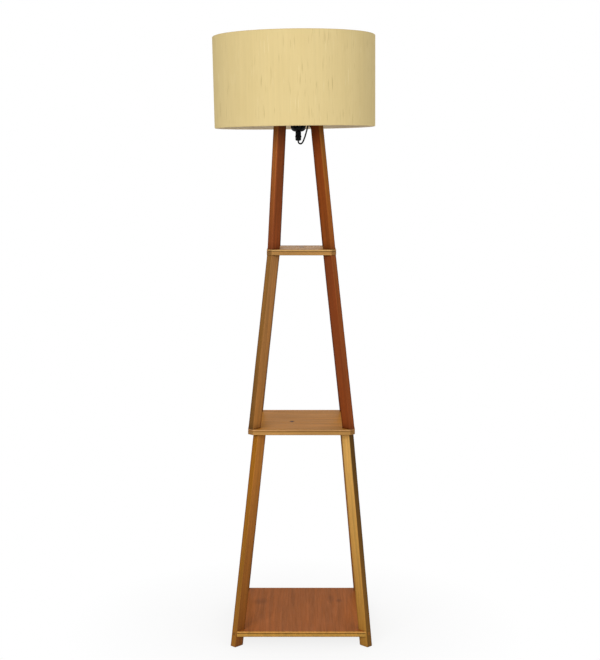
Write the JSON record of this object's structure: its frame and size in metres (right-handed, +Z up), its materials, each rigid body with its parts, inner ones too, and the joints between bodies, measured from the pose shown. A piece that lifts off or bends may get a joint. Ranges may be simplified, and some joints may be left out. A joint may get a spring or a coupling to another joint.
{
  "type": "shelf floor lamp",
  "caption": "Wooden floor lamp on raked legs with open square shelves and a round fabric drum shade.",
  "frame": {"origin": "on the floor, in the middle of the lamp's plan; the lampholder's axis is 6 mm to its right", "axes": "+Z up, +Y to the back, +X to the right seen from the front"},
  "size_m": [0.4084, 0.4435, 1.5228],
  "materials": {
    "leg_wood": "oiled and polished",
    "shelf_wood": "oiled and polished",
    "dowel_wood": "satin",
    "steel_screw": "satin",
    "black_plastic": "gloss",
    "white_ceramic": "glazed",
    "contact_brass": "satin",
    "clip_plastic": "matte",
    "clip_steel": "satin",
    "flex_black": "satin",
    "plug_black": "satin",
    "pin_metal": "bright",
    "white_wire": "satin",
    "shade_fabric": "slubbed weave",
    "shade_liner": "matte",
    "bulb_metal": "bright",
    "bulb_glass": "frosted"
  },
  "bodies": {
    "stand": {"leg_lower_front_left": "leg_wood", "leg_lower_front_right": "leg_wood", "leg_lower_back_left": "leg_wood", "leg_lower_back_right": "leg_wood", "leg_middle_front_left": "leg_wood", "leg_middle_front_right": "leg_wood", "leg_middle_back_left": "leg_wood", "leg_middle_back_right": "leg_wood", "leg_upper_front_left": "leg_wood", "leg_upper_front_right": "leg_wood", "leg_upper_back_left": "leg_wood", "leg_upper_back_right": "leg_wood", "shelf_bottom": "shelf_wood", "shelf_middle": "shelf_wood", "shelf_top": "shelf_wood", "holder_plate": "shelf_wood", "dowels_lower_top": "dowel_wood", "dowels_middle_foot": "dowel_wood", "dowels_middle_top": "dowel_wood", "dowels_upper_foot": "dowel_wood", "shelf_screws": "steel_screw", "plate_screws": "steel_screw", "screw_pellets": "dowel_wood", "holder_cap": "black_plastic", "cord_grip": "black_plastic", "holder_skirt": "black_plastic", "holder_core": "white_ceramic", "terminals": "contact_brass", "socket_shell": "contact_brass", "ring_below_plate": "black_plastic", "cord_clips": "clip_plastic", "clip_nails": "clip_steel", "cord_lead": "flex_black", "cord_coil": "flex_black", "cord_tail": "flex_black", "plug_body": "plug_black", "plug_pins": "pin_metal"},
    "shade": {"shade_hub": "white_wire", "shade_arms": "white_wire", "shade_hoop_bottom": "white_wire", "shade_hoop_top": "white_wire", "shade_fabric": "shade_fabric", "shade_liner": "shade_liner", "shade_hem_bottom": "shade_fabric", "shade_hem_top": "shade_fabric"},
    "ring": {"shade_ring": "black_plastic"},
    "contact": {"centre_contact": "contact_brass"},
    "bulb": {"bulb_cap": "bulb_metal", "bulb_globe": "bulb_glass"}
  },
  "joints": [
    {"name": "shade_turn", "type": "hinge", "parent": "stand", "child": "shade", "pos_m": [0.006, 0, 1.32], "axis": [0, 0, 1], "continuous": true},
    {"name": "ring_turn", "type": "hinge", "parent": "stand", "child": "ring", "pos_m": [0.006, 0, 1.326], "axis": [0, 0, 1], "range_deg": [0, 90]},
    {"name": "contact_travel", "type": "slide", "parent": "stand", "child": "contact", "axis": [0, 0, 1], "range_m": [0, 0.0036]},
    {"name": "bulb_turn", "type": "hinge", "parent": "contact", "child": "bulb", "pos_m": [0.006, 0, 1.32], "axis": [0, 0, 1], "range_deg": [0, 360]}
  ],
  "couplings": [
    {"joint": "bulb_turn", "follows": "contact_travel", "rad_per_m": 1745.3}
  ]
}
